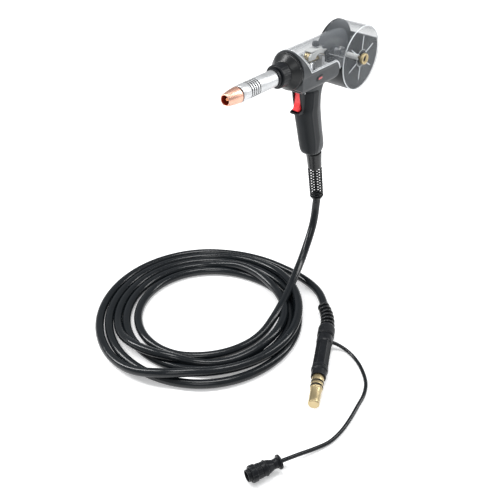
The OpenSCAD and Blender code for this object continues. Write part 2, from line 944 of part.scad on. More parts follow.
module control_backshell() {
    color(black) on_connector() translate([0, 0, 12]) difference() {
        union() {
            cylinder(h = 10, d1 = 15, d2 = 22);
            translate([0, 0, 10]) cylinder(h = 10, d = 22);
        }
        translate([0, 0, 3]) cylinder(h = 20, d = 10);
    }
}

module control_coupling() {
    grips = 24;
    color(black) on_connector() translate([0, 0, 32.3]) difference() {
        cylinder(h = 18, d = connector_d);
        translate([0, 0, -1]) cylinder(h = 20, d = 19.1);
        for (i = [0 : grips - 1]) rotate([0, 0, 360 / grips * i])
            translate([connector_d / 2 + 0.3, 0, 4]) cylinder(h = 10, d = 1.8, $fn = 12);
    }
}

module control_insert() {
    color(black) on_connector() translate([0, 0, 32]) difference() {
        cylinder(h = 24, d = 19);
        translate([0, 0, 12]) cylinder(h = 13, d = 15);
    }
}

module control_contacts() {
    pins = 4;
    color(brass) on_connector() for (i = [0 : pins - 1]) rotate([0, 0, 90 * i + 45])
        translate([4, 0, 44]) cylinder(h = 8, d = 2, $fn = 16);
}

gas_nozzle();
contact_tip();
gas_diffuser();
nozzle_insulator();
barrel_tube();
conductor_tube();
barrel_screw();
barrel_ring();
barrel_collar();
front_dome();
bayonet_ring();
body_left();
body_right();
handle_left();
handle_right();
grip_overmould();
badge_plate();
drive_cover();
spool_housing();
spool_cap();
spool_spindle();
spindle_knob();
brake_spring();
brake_washer();
feed_frame();
gearbox();
drive_motor();
drive_roll();
idler_roll();
pressure_arm();
arm_pin();
tension_screw();
tension_spring();
tension_knob();
inlet_guide();
outlet_guide();
power_block();
trigger_surround();
trigger();
trigger_pin();
trigger_spring();
trigger_switch();
shell_screws();
lead_clamp();
strain_relief();
power_lead();
power_coil();
power_tail();
plug_strain_relief();
plug_ring();
plug_body();
power_pin();
pin_o_rings();
control_lead();
control_clamp();
control_backshell();
control_coupling();
control_insert();
control_contacts();
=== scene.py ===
import json
from math import atan2, cos, pi, radians, sin, sqrt

import bmesh
import bpy
from mathutils import Matrix, Vector


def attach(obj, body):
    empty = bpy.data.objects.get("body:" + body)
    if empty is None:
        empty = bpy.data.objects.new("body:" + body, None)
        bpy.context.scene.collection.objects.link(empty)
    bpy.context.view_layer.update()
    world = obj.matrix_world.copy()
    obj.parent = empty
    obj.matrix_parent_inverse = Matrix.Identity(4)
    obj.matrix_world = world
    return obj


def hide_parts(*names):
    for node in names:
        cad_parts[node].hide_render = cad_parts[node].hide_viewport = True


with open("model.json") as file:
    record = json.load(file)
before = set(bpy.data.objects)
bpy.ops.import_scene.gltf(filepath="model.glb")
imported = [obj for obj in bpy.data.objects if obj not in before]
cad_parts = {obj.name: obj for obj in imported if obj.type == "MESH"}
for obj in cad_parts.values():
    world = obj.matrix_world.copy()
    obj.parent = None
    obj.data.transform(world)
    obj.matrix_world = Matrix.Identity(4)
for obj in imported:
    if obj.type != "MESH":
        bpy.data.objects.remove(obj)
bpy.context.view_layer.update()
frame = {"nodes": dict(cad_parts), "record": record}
nodes = frame["nodes"]
MM = 0.001

# ---------- frames: everything below is written in millimetres ----------

FLOOR = -330.0
SCALE = Matrix.Scale(MM, 4)


def move(x, y, z):
    """A shift given in millimetres"""
    return Matrix.Translation((x * MM, y * MM, z * MM))


def turn(degrees, axis):
    return Matrix.Rotation(radians(degrees), 4, axis)


ROW = SCALE
GUN = move(-75, 0, 115) @ SCALE
NOSE = move(-75, 0, 113) @ SCALE
ALONG_X = turn(90, "Y")
FACING_Y = turn(-90, "X")
PLUG = move(-313, -253, -315) @ turn(28.5, "Z") @ ALONG_X @ SCALE
LEAN = atan2(20, 108)
RELIEF = move(35, 0, -178) @ Matrix.Rotation(-LEAN, 4, "Y") @ SCALE
CONNECTOR = move(-429, -277, -316) @ turn(158, "Z") @ ALONG_X @ SCALE

# ---------- camera ----------

scene = bpy.context.scene
camera_data = bpy.data.cameras.new("Camera")
camera_data.lens = 50
camera_data.sensor_width = 36
camera_data.clip_end = 20
camera = bpy.data.objects.new("Camera", camera_data)
camera.location = (-0.9606, -0.6688, 0.5397)
camera.rotation_euler = (radians(54.53), 0, radians(-49.73))
scene.collection.objects.link(camera)
scene.camera = camera


# ---------- materials ----------


class Shader:
    """A Principled material with nodes for its colour, roughness and bump"""

    def __init__(self, name, color, rough, metallic=0.0, **sockets):
        self.material = bpy.data.materials.new(name)
        self.material.use_nodes = True
        self.tree = self.material.node_tree
        self.bsdf = self.tree.nodes["Principled BSDF"]
        self.color = color
        self.rough = rough
        self.set("Base Color", (*color, 1))
        self.set("Roughness", rough)
        self.set("Metallic", metallic)
        for key, value in sockets.items():
            self.set(key.replace("_", " "), value)
        self.coords = self.node("ShaderNodeTexCoord").outputs["Object"]
        self.bump_out = None

    def set(self, name, value):
        self.bsdf.inputs[name].default_value = value

    def node(self, kind, **values):
        made = self.tree.nodes.new(kind)
        for key, value in values.items():
            setattr(made, key, value)
        return made

    def link(self, a, b):
        self.tree.links.new(a, b)

    def mapped(self, scale):
        mapping = self.node("ShaderNodeMapping")
        mapping.inputs["Scale"].default_value = scale
        self.link(self.coords, mapping.inputs["Vector"])
        return mapping.outputs["Vector"]

    def noise(self, scale, detail=3.0, rough=0.5, vector=None):
        made = self.node("ShaderNodeTexNoise")
        made.inputs["Scale"].default_value = scale
        made.inputs["Detail"].default_value = detail
        made.inputs["Roughness"].default_value = rough
        self.link(vector or self.coords, made.inputs["Vector"])
        return made.outputs["Fac"]

    def ramp(self, value, low, high, at=(0.35, 0.65)):
        made = self.node("ShaderNodeMapRange")
        made.inputs["From Min"].default_value = at[0]
        made.inputs["From Max"].default_value = at[1]
        made.inputs["To Min"].default_value = low
        made.inputs["To Max"].default_value = high
        self.link(value, made.inputs["Value"])
        return made.outputs["Result"]

    def mix_color(self, factor, a, b):
        made = self.node("ShaderNodeMix", data_type="RGBA")
        self.link(factor, made.inputs["Factor"])
        for socket, value in ((made.inputs[6], a), (made.inputs[7], b)):
            if isinstance(value, tuple):
                socket.default_value = (*value, 1)
            else:
                self.link(value, socket)
        return made.outputs[2]

    def vary(self, scale, amount, detail=3.0):
        """Slight patches of darker and lighter colour"""
        shade = tuple(c * (1 - amount) for c in self.color)
        light = tuple(min(1, c * (1 + amount)) for c in self.color)
        patches = self.ramp(self.noise(scale, detail), 0, 1)
        self.link(self.mix_color(patches, shade, light), self.bsdf.inputs["Base Color"])

    def rough_patches(self, scale, amount, vector=None):
        value = self.ramp(self.noise(scale, 4, 0.6, vector), self.rough - amount, self.rough + amount)
        self.link(value, self.bsdf.inputs["Roughness"])

    def bump(self, height, distance, strength=1.0):
        made = self.node("ShaderNodeBump")
        made.inputs["Distance"].default_value = distance
        made.inputs["Strength"].default_value = strength
        self.link(height, made.inputs["Height"])
        if self.bump_out:
            self.link(self.bump_out, made.inputs["Normal"])
        self.bump_out = made.outputs["Normal"]
        self.link(self.bump_out, self.bsdf.inputs["Normal"])


def plastic(name, color, rough, grain=9000, depth=0.00004, **sockets):
    made = Shader(name, color, rough, sockets.pop("Metallic", 0.0), **sockets)
    made.vary(40, 0.08)
    made.rough_patches(50, 0.03)
    made.bump(made.noise(grain, 2, 0.6), depth, 0.5)
    return made


def metal(name, color, rough, brush=(1, 1, 1), grain=2500, depth=0.00002, **sockets):
    made = Shader(name, color, rough, 1.0, **sockets)
    vector = made.mapped(brush)
    made.vary(40, 0.05)
    made.rough_patches(grain * 0.4, 0.03, vector)
    made.bump(made.noise(grain, 2, 0.5, vector), depth, 0.3)
    return made


looks = {
    "copper": metal("copper", (0.78, 0.45, 0.34), 0.36, (1, 1, 1), 60, 0.000001),
    "copper_tip": metal("copper_tip", (0.80, 0.36, 0.18), 0.30, (6, 1, 1), 700),
    "brass": metal("brass", (0.52, 0.42, 0.24), 0.34, (1, 1, 1), 60, 0.000001),
    "satin_chrome": plastic("satin_chrome", (0.58, 0.59, 0.60), 0.38, 60, 0.000001, Metallic=0.72),
    "steel": metal("steel", (0.62, 0.63, 0.65), 0.32, (1, 1, 4), 900),
    "cast_aluminium": plastic("cast_aluminium", (0.66, 0.67, 0.68), 0.42, 1600, 0.00001, Metallic=0.2),
    "black_gloss": plastic("black_gloss", (0.007, 0.008, 0.009), 0.31, 5000, 0.000006,
                           Specular_IOR_Level=0.36),
    "black_plastic": plastic("black_plastic", (0.007, 0.008, 0.010), 0.36, Specular_IOR_Level=0.22),
    "grey_plastic": plastic("grey_plastic", (0.044, 0.048, 0.052), 0.45, 3000, 0.00002,
                            Specular_IOR_Level=0.28),
    "soft_rubber": plastic("soft_rubber", (0.008, 0.010, 0.012), 0.42, 5000, Specular_IOR_Level=0.18),
    "cable_jacket": plastic("cable_jacket", (0.007, 0.009, 0.011), 0.19, 150, 0.000003,
                            Specular_IOR_Level=0.34),
    "red_plastic": plastic("red_plastic", (0.80, 0.03, 0.035), 0.33),
    "light_plastic": plastic("light_plastic", (0.70, 0.71, 0.70), 0.40),
}


def clear_look(name, color, low, high, at):
    """Clear moulded plastic: a little tinted, denser where it is seen edge on"""
    made = Shader(name, color, 0.08, IOR=1.45)
    made.vary(30, 0.04)
    facing = made.node("ShaderNodeLayerWeight")
    facing.inputs["Blend"].default_value = 0.35
    made.link(made.ramp(facing.outputs["Facing"], low, high, at), made.bsdf.inputs["Alpha"])
    made.bump(made.noise(25, 1, 0.3), 0.0001, 0.1)
    return made


looks["clear_plastic"] = clear_look("clear_plastic", (0.19, 0.205, 0.22), 0.13, 0.58, (0.3, 1.0))
# Whitish, nearly opaque look for the beads along the clear parts' edges and ribs: a painted highlight where
# light catches them
looks["clear_painted_highlight"] = clear_look("clear_painted_highlight", (0.86, 0.89, 0.91), 0.62, 0.9, (0.1, 0.9))
# Near-black look for the barrel's grooves and the knob's hollow end: painted shade in recesses
looks["recess_painted_shade"] = metal("recess_painted_shade", (0.05, 0.05, 0.05), 0.5, (1, 1, 1), 900)
# The nozzle's bore: a dark red painted reflection of the copper seen inside itself, with a faint painted glow
# from emission
looks["nozzle_bore_painted_glow"] = metal("nozzle_bore_painted_glow", (0.40, 0.05, 0.03), 0.5, (1, 1, 1), 60, 0.000001,
                             Emission_Color=(0.30, 0.03, 0.01, 1), Emission_Strength=0.12)
looks["relief_rubber"] = plastic("relief_rubber", (0.007, 0.008, 0.009), 0.26, 1200, 0.000004,
                                 Specular_IOR_Level=0.4)
looks["housing_dark"] = plastic("housing_dark", (0.016, 0.018, 0.020), 0.42, Specular_IOR_Level=0.25)
looks["badge_red"] = plastic("badge_red", (0.55, 0.10, 0.11), 0.4)

slots = {row["node"]: row["material_slot"] for row in frame["record"]["subparts"]}
for name, node in nodes.items():
    node.data.materials.clear()
    node.data.materials.append(looks[slots[name]].material)


# ---------- mesh tools ----------


def body_for(node):
    """The moving body that a CAD node belongs to"""
    for body, members in frame["record"]["behaviour"]["bodies"].items():
        if node in members:
            return body


def add(name, mesh, matrix, look, node, also=(), more=()):
    """Adds a mesh as a piece that stands for a CAD node; more names looks for marked faces"""
    mesh.transform(matrix)
    if matrix.determinant() < 0:
        mesh.flip_normals()
    marks = [face.material_index for face in mesh.polygons]
    mesh.materials.clear()
    for each in (look, *more):
        mesh.materials.append(looks[each].material)
    for face, mark in zip(mesh.polygons, marks):
        face.material_index = mark
    made = bpy.data.objects.new(name, mesh)
    scene.collection.objects.link(made)
    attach(made, body_for(node))
    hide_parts(node, *also)
    return made


def mesh_of(name, verts, faces, smooth=True):
    mesh = bpy.data.meshes.new(name)
    mesh.from_pydata([tuple(v) for v in verts], [], faces)
    bm = bmesh.new()
    bm.from_mesh(mesh)
    bmesh.ops.remove_doubles(bm, verts=bm.verts, dist=1e-5)
    bmesh.ops.recalc_face_normals(bm, faces=bm.faces)
    bm.to_mesh(mesh)
    bm.free()
    if smooth:
        mesh.shade_smooth()
    return mesh


def fillet(points, radius, n=4, closed=True):
    """Rounds every corner of an outline. A point's third number is a radius of its own"""
    count = len(points)
    made = []
    for i, point in enumerate(points):
        p = Vector(point[:2])
        r = point[2] if len(point) > 2 else radius
        if not closed and i in (0, count - 1):
            made.append(p)
            continue
        a, b = Vector(points[i - 1][:2]), Vector(points[(i + 1) % count][:2])
        da, db = (a - p).length, (b - p).length
        t = min(r, da * 0.49, db * 0.49)
        if t < 1e-4:
            made.append(p)
            continue
        start, end = p + (a - p) * (t / da), p + (b - p) * (t / db)
        for k in range(n + 1):
            u = k / n
            made.append(start * (1 - u) ** 2 + p * (2 * u * (1 - u)) + end * u * u)
    return made


def lathe(name, profile, steps=96, change=None, start=0.0, sweep=360.0):
    """Turns a closed outline of (z, r) about the local Z axis"""
    whole = sweep >= 360
    rings = steps if whole else steps + 1
    verts, faces, size = [], [], len(profile)
    for i in range(rings):
        a = radians(start + sweep * i / steps)
        for z, r in profile:
            reach = change(a, z, r) if change else r
            verts.append((reach * cos(a), reach * sin(a), z))
    for i in range(steps):
        j = (i + 1) % rings
        for k in range(size):
            m = (k + 1) % size
            if profile[k][1] < 1e-6 and profile[m][1] < 1e-6:
                continue
            faces.append((i * size + k, j * size + k, j * size + m, i * size + m))
    if not whole:
        faces.append(tuple(range(size)))
        faces.append(tuple(reversed(range((rings - 1) * size, rings * size))))
    return mesh_of(name, verts, faces)


def plate(name, outline, low, high, round_by=0.4, n=3):
    """Extrudes an outline of (x, y) between two heights with rounded rims"""
    size = len(outline)
    layers = [(low + round_by * (1 - cos(a)), round_by * (1 - sin(a)))
              for a in [pi / 2 * k / n for k in range(n + 1)]]
    layers += [(high - (z - low), inset) for z, inset in reversed(layers)]
    normals = []
    for i in range(size):
        a, b = Vector(outline[i - 1][:2]), Vector(outline[(i + 1) % size][:2])
        d = (b - a).normalized()
        normals.append(Vector((d.y, -d.x)))
    area = sum(outline[i - 1][0] * outline[i][1] - outline[i][0] * outline[i - 1][1]
               for i in range(size))
    side = 1 if area > 0 else -1
    verts, faces = [], []
    for z, inset in layers:
        for p, normal in zip(outline, normals):
            q = Vector(p[:2]) - normal * (inset * side)
            verts.append((q.x, q.y, z))
    count = len(layers)
    for i in range(count - 1):
        for k in range(size):
            m = (k + 1) % size
            faces.append((i * size + k, i * size + m, (i + 1) * size + m, (i + 1) * size + k))
    faces.append(tuple(range(size)))
    faces.append(tuple(range((count - 1) * size, count * size)))
    return mesh_of(name, verts, faces)


def join(name, *meshes):
    """One mesh from several"""
    bm = bmesh.new()
    for mesh in meshes:
        bm.from_mesh(mesh)
    made = bpy.data.meshes.new(name)
    bm.to_mesh(made)
    bm.free()
    made.shade_smooth()
    return made


def shifted(mesh, matrix):
    mesh.transform(matrix)
    return mesh


def marked(mesh, index=1, test=None):
    """Gives faces another of the piece's looks"""
    for face in mesh.polygons:
        if test is None or test(face):
            face.material_index = index
    return mesh


def sheet(name, rows, thickness, inward):
    """A closed skin from a grid of points, thickened by moving each along inward(point)"""
    height, width = len(rows), len(rows[0])
    top = [Vector(p) for row in rows for p in row]
    verts = top + [p + inward(p) * thickness for p in top]
    half, faces = height * width, []
    for i in range(height - 1):
        for k in range(width - 1):
            a = i * width + k
            quad = (a, a + 1, a + width + 1, a + width)
            faces.append(quad)
            faces.append(tuple(v + half for v in reversed(quad)))
    rim = [i * width for i in range(height)] + [(height - 1) * width + k for k in range(1, width)]
    rim += [i * width + width - 1 for i in range(height - 2, -1, -1)] + list(range(width - 2, 0, -1))
    walls = []
    for a, b in zip(rim, rim[1:] + rim[:1]):
        walls.append((a, b, b + half, a + half))
    return mesh_of(name, verts, faces + walls)


def bead(name, points, radius, closed=False, sides=8):
    """A thin round rib along a line of points"""
    points = [Vector(p) for p in points]
    count, verts, faces = len(points), [], []
    side = None
    for i, p in enumerate(points):
        before = points[i - 1] if closed or i else p
        after = points[(i + 1) % count] if closed or i < count - 1 else p
        heading = (after - before).normalized()
        if side is None:
            side = heading.orthogonal().normalized()
        side = (side - heading * side.dot(heading)).normalized()
        up = heading.cross(side)
        for k in range(sides):
            t = 2 * pi * k / sides
            verts.append(p + side * (radius * cos(t)) + up * (radius * sin(t)))
    for i in range(count if closed else count - 1):
        j = (i + 1) % count
        for k in range(sides):
            m = (k + 1) % sides
            faces.append((i * sides + k, i * sides + m, j * sides + m, j * sides + k))
    if not closed:
        faces.append(tuple(range(sides)))
        faces.append(tuple(range((count - 1) * sides, count * sides)))
    return mesh_of(name, verts, faces)


def helix(radius, turns, low, rise, per_turn=32):
    """The line of a coil spring about Z"""
    made = []
    for k in range(turns * per_turn + 1):
        t = 2 * pi * k / per_turn
        made.append((radius * cos(t), radius * sin(t), low + rise * k / (turns * per_turn)))
    return made


def spread(stations, t):
    """A smooth value between stations of (place, value)"""
    stations = sorted(stations)
    t = min(max(t, stations[0][0]), stations[-1][0])
    i = min(max(k for k in range(len(stations)) if stations[k][0] <= t), len(stations) - 2)
    (x1, v1), (x2, v2) = stations[i], stations[i + 1]
    x0, v0 = stations[max(0, i - 1)]
    x3, v3 = stations[min(len(stations) - 1, i + 2)]
    u, span = (t - x1) / (x2 - x1), x2 - x1
    m1, m2 = (v2 - v0) / (x2 - x0) * span, (v3 - v1) / (x3 - x1) * span
    return (v1 * (2 * u ** 3 - 3 * u * u + 1) + m1 * (u ** 3 - 2 * u * u + u)
            + v2 * (3 * u * u - 2 * u ** 3) + m2 * (u ** 3 - u * u))


def applied(mesh, *modifiers):
    """Runs modifiers, each a (type, settings), on a mesh and returns the result"""
    holder = bpy.data.objects.new("holder", mesh)
    scene.collection.objects.link(holder)
    for kind, settings in modifiers:
        modifier = holder.modifiers.new(kind, kind)
        for key, value in settings.items():
            setattr(modifier, key, value)
    depsgraph = bpy.context.evaluated_depsgraph_get()
    made = bpy.data.meshes.new_from_object(holder.evaluated_get(depsgraph))
    bpy.data.objects.remove(holder)
    return made


def moulded(node, voxel=0.5, smooth=4, look=None):
    """A CAD node's own shape with its sharp edges rounded off, as moulding leaves them"""
    mesh = nodes[node].data.copy()
    mesh = applied(mesh, ("REMESH", {"mode": "VOXEL", "voxel_size": voxel * MM,
                                     "use_smooth_shade": True}),
                   ("SMOOTH", {"factor": 0.5, "iterations": smooth}))
    mesh.shade_smooth()
    return add(f"{node}_moulded", mesh, Matrix.Identity(4), look or slots[node], node)


# ---------- leads ----------


def tube_curve(name, points, diameter, look):
    """One open Bezier line through the points, with handles that keep it smooth"""
    data = bpy.data.curves.new(name, "CURVE")
    data.dimensions = "3D"
    data.resolution_u = 8
    data.bevel_depth = diameter / 2 * MM
    data.bevel_resolution = 7
    data.use_fill_caps = True
    spline = data.splines.new("BEZIER")
    spline.bezier_points.add(len(points) - 1)
    places = [Vector(p) * MM for p in points]
    for i, place in enumerate(places):
        before, after = places[max(0, i - 1)], places[min(len(places) - 1, i + 1)]
        lead = (place - before).length
        trail = (after - place).length
        if 0 < i < len(places) - 1:
            heading = ((place - before) / lead * trail + (after - place) / trail * lead).normalized()
        else:
            heading = (after - before).normalized()
        point = spline.bezier_points[i]
        point.handle_left_type = point.handle_right_type = "FREE"
        point.co = place
        point.handle_left = place - heading * (lead or trail) / 3
        point.handle_right = place + heading * (trail or lead) / 3
    data.materials.append(looks[look].material)
    made = bpy.data.objects.new(name, data)
    scene.collection.objects.link(made)
    return made


def smoothstep(a, b, x):
    t = min(1, max(0, (x - a) / (b - a)))
    return t * t * (3 - 2 * t)


# The coil's loops as (turns, how far out, how high). Where two loops cross, one climbs over
# the other.
COIL_MIDDLE = (-246, 41.5)
loops = [(0.16, 113.7, -322), (0.27, 118.6, -322), (0.33, 125.5, -322), (0.46, 130.7, -322),
         (0.60, 131, -322),
         (0.74, 131.8, -322), (0.80, 134.5, -322), (0.85, 138, -322), (0.90, 145, -322),
         (0.95, 151.5, -322),
         (1.00, 156, -322), (1.12, 155, -322), (1.25, 152.5, -322), (1.36, 151.5, -322),
         (1.46, 152.7, -322),
         (1.60, 151, -322), (1.74, 148, -321), (1.80, 144, -310), (1.85, 140, -306),
         (1.90, 138.5, -306.5),
         (1.95, 141, -309), (2.00, 145, -311), (2.10, 141.5, -313), (2.18, 137.5, -321),
         (2.25, 136.2, -322),
         (2.29, 138.5, -314), (2.33, 148, -306.5), (2.37, 157, -307), (2.41, 163.5, -311),
         (2.46, 168.4, -321),
         (2.60, 167, -322), (2.74, 164, -322), (2.82, 164.5, -322), (2.90, 167, -322),
         (3.03, 172, -322),
         (3.12, 177, -322), (3.25, 183.8, -322), (3.36, 184.6, -322), (3.46, 185, -322),
         (3.60, 183, -322),
         (3.74, 180, -321.5), (3.82, 180, -318), (3.90, 177.5, -310), (3.96, 173.5, -306.5),
         (4.03, 170.5, -306), (4.14, 167.5, -308.5), (4.22, 164.5, -311.5), (4.27, 173, -306.5),
         (4.30, 183.5, -305.5), (4.33, 193.5, -308.5), (4.36, 199.5, -316), (4.40, 202, -321.5),
         (4.46, 202.5, -322), (4.60, 199.5, -322), (4.74, 196.1, -322), (4.82, 197.5, -322)]


def coil_point(s):
    """A point of the coil after s turns, clockwise from above, eased between the loops' stations"""
    i = max(k for k in range(len(loops) - 1) if loops[k][0] <= s)
    i = min(max(i, 1), len(loops) - 3)
    s0, s1, s2, s3 = (loops[i + k][0] for k in (-1, 0, 1, 2))
    t = (s - s1) / (s2 - s1)
    values = []
    for axis in (1, 2):
        v0, v1, v2, v3 = (loops[i + k][axis] for k in (-1, 0, 1, 2))
        m1, m2 = (v2 - v0) / (s2 - s0) * (s2 - s1), (v3 - v1) / (s3 - s1) * (s2 - s1)
        values.append(v1 * (2 * t ** 3 - 3 * t * t + 1) + m1 * (t ** 3 - 2 * t * t + t)
                      + v2 * (3 * t * t - 2 * t ** 3) + m2 * (t ** 3 - t * t))
    angle = radians(310 - 360 * s)
    return (COIL_MIDDLE[0] + values[0] * cos(angle), COIL_MIDDLE[1] + values[0] * sin(angle),
            max(-322, values[1]))


lead_start = [(34.6, 0, -176), (35.4, 0, -186), (33, -0.5, -200), (28.6, -2.5, -215), (20.5, -5, -234),
              (8, -8, -252), (-10, -12.5, -270), (-34, -20, -285), (-62, -29, -296),
              (-92, -39.5, -303.5), (-124, -51.5, -306.5), (-156, -62, -309), (-188, -70, -313.5),
              (-220, -74.5, -319.5), (-252, -73.5, -321.8), (-283, -66, -322)]
lead_end = [(-77, 139, -322), (-58, 99, -322), (-47, 58, -322), (-43, 15, -322), (-44, -25, -321.5),
            (-52, -60, -320), (-66, -88, -317), (-82, -108, -315.5), (-96, -122, -315.2),
            (-112, -136, -315), (-128, -149, -315), (-139, -158.5, -315)]
LEAD_D, CONTROL_D = 16, 6.5
COIL_FROM, COIL_TO, TURN_POINTS = 0.27, 4.74, 24
coil = [coil_point(COIL_FROM + k / TURN_POINTS)
        for k in range(int((COIL_TO - COIL_FROM) * TURN_POINTS) + 1)]
control_route = [(-165, -188, -317.4), (-160, -199, -321.5), (-157.5, -212, -325.5),
                 (-161, -228, -326.7), (-170, -247, -326.7), (-184, -266, -326.7),
                 (-203, -284, -326.7), (-226, -295, -326.7), (-254, -301, -326.7),
                 (-286, -307, -326.7), (-317, -310, -326.7), (-344, -308, -326.5),
                 (-370, -299, -325), (-396, -289, -321), (-414, -283, -317.5),
                 (-430, -276.6, -316)]

power_lead = tube_curve("power_lead_cable", lead_start + coil + lead_end, LEAD_D, "cable_jacket")
control_lead = tube_curve("control_lead_cable", control_route, CONTROL_D, "cable_jacket")
for lead, stands_for in ((power_lead, ("power_lead", "power_coil", "power_tail")),
                         (control_lead, ("control_lead",))):
    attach(lead, "gun")
    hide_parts(*stands_for)

# ---------- moulded parts straight from the frame ----------

for node_name in ("body_left", "body_right", "trigger_surround", "trigger"):
    moulded(node_name)
moulded("spool_housing", look="housing_dark")
for node_name in ("feed_frame", "pressure_arm", "power_block", "gearbox", "barrel_screw"):
    moulded(node_name, 0.3, 3)

# ---------- grip ----------

GRIP_FRONT = [(-32, 41), (-52, 40.5), (-78, 40), (-88, 37), (-94, 37), (-125, 45.5), (-160, 55),
              (-172, 58.6), (-178, 62), (-182, 67), (-184, 73)]
GRIP_REAR = [(-32, 114), (-38, 106), (-44, 100), (-56, 93.5), (-72, 91.5), (-90, 93), (-120, 98.5),
             (-150, 105.5), (-162, 108.6), (-171, 110), (-177, 108.4), (-181.5, 103.5), (-184, 96)]
GRIP_HALF = [(-32, 19), (-45, 18), (-150, 18), (-168, 17.7), (-177, 16.6), (-181.5, 14.6), (-184, 12)]


def grip_point(z, angle, grow=0.0):
    """A point of the grip's outline at a height; angle 0 is the rear, 180 the front"""
    front, rear, half = (spread(line, z) for line in (GRIP_FRONT, GRIP_REAR, GRIP_HALF))
    c, n = cos(radians(angle)), sin(radians(angle))
    power = 2 / 2.7
    x = (front + rear) / 2 + ((rear - front) / 2 + grow) * abs(c) ** power * (1 if c > 0 else -1)
    narrow = 1 - 0.20 * smoothstep(0.1, 1.0, c)
    y = (half * narrow + grow) * abs(n) ** power * (1 if n > 0 else -1)
    return x, y, z


def grip():
    heights = ([-32, -35, -38, -41, -44, -47] + [-50 - 4 * k for k in range(29)]
               + [-165, -168, -171, -174, -176.5, -178.5, -180, -181.5, -182.5, -183.4, -184])
    steps, seam_depth, seam_nudge = 144, 0.5, 0.25
    seam_ends = (steps // 2 - 1, steps - 1)
    rows = []
    for z in heights:
        row = []
        for k in range(steps):
            nudge = seam_nudge if k in (1, steps // 2 + 1) else -seam_nudge if k in seam_ends else 0
            row.append(grip_point(z, 360 * k / steps - nudge, -seam_depth if k in (0, steps // 2) else 0.0))
        rows.append(row)
    verts = [p for row in rows for p in row]
    faces = []
    for i in range(len(rows) - 1):
        for k in range(steps):
            m = (k + 1) % steps
            faces.append((i * steps + k, i * steps + m, (i + 1) * steps + m, (i + 1) * steps + k))
    faces.append(tuple(range(steps)))
    faces.append(tuple(range((len(rows) - 1) * steps, len(rows) * steps)))
    add("grip_shell", mesh_of("grip_shell", verts, faces), GUN, "grey_plastic", "handle_left",
        ("handle_right",))


def overmould():
    """The dark panel round the grip's front, with a raised rib along each of its edges"""
    rows = []
    top, low = -48.0, -183.2
    count, steps = 72, 72
    for i in range(count + 1):
        u = i / count
        z = top + (low - top) * u
        reach, corner = 96 - 10 * smoothstep(0.72, 1.0, u), 9.0
        if z > top - corner:
            reach -= 24 * (1 - sqrt(max(0, 1 - ((z - top + corner) / corner) ** 2)))
        row = []
        for k in range(steps + 1):
            v = 2 * k / steps - 1
            angle = 180 - reach * v
            edge = min(1 - abs(v), u * 1.5, 1.4 * (1 - u))
            lift = 1.15 * smoothstep(0, 0.035, edge) - 0.45
            ridge = abs(abs(v) - 0.74)
            lift += 0.55 * (1 - smoothstep(0, 0.07, ridge)) * smoothstep(0, 0.06, edge)
            row.append(grip_point(z, angle, lift))
        rows.append(row)

    def inward(p):
        centre = Vector((spread(GRIP_FRONT, p.z) / 2 + spread(GRIP_REAR, p.z) / 2, 0, p.z))
        return (centre - p).normalized()

    add("grip_soft_panel", sheet("grip_soft_panel", rows, 0.8, inward), GUN, "soft_rubber",
        "grip_overmould")


def badge():
    """A dark unlettered badge with a small red bar on it"""
    pill = fillet([(-9.5, -4.2), (9.5, -4.2), (9.5, 4.2), (-9.5, 4.2)], 4.1, 6)
    bar = fillet([(-5.2, -1.7), (5.2, -1.7), (5.2, 1.7), (-5.2, 1.7)], 1.6, 4)
    parts = [plate("badge", pill, 0, 1.0, 0.3), marked(plate("badge", bar, 0.9, 1.35, 0.12))]
    place = GUN @ Matrix.Translation((50, -31.4, -20)) @ turn(90, "X") @ turn(3, "Z")
    add("badge_pill", join("badge_pill", *parts), place, "black_gloss", "badge_plate", (),
        ("badge_red",))


grip()
overmould()
badge()

# ---------- nose ----------

NOSE_X = NOSE @ ALONG_X
NOZZLE_REAR, NOZZLE_TIP = -126.6, -155.1


def nozzle():
    span = NOZZLE_REAR - NOZZLE_TIP
    outer = [(NOZZLE_REAR - span * u, 13.3 - 3.8 * u ** 1.7) for u in [k / 16 for k in range(1, 16)]]
    outline = ([(NOZZLE_REAR, 10.45), (NOZZLE_REAR, 12.9), (NOZZLE_REAR - 0.5, 13.28)] + outer
               + [(NOZZLE_TIP + 0.9, 9.62), (NOZZLE_TIP + 0.3, 9.3), (NOZZLE_TIP, 8.9),
                  (NOZZLE_TIP, 8.3),
                  (NOZZLE_TIP + 0.4, 7.85), (NOZZLE_TIP + 1.4, 7.6), (NOZZLE_TIP + 10, 7.9),
                  (NOZZLE_REAR - 12, 10.4)])
    # Faces inside the bore get the dark red painted reflection and glow
    shell = marked(lathe("nozzle_shell", outline, 128), 1,
                   lambda f: Vector(f.center[:2]).length < 8.2 - 0.01 * (f.center.z - NOZZLE_TIP)
                   and f.center.z > NOZZLE_TIP + 0.3)
    add("nozzle_shell", shell, NOSE_X, "copper", "gas_nozzle", (), ("nozzle_bore_painted_glow",))
    tip = fillet([(-150.5, 0.7), (-150.5, 2.2), (-149.2, 3.0), (-140, 3.3), (-138, 4.0), (-122, 4.1),
                  (-122, 0.7)], 0.4, 3)
    add("contact_tip_turned", lathe("contact_tip_turned", tip, 64), NOSE_X, "copper_tip", "contact_tip")


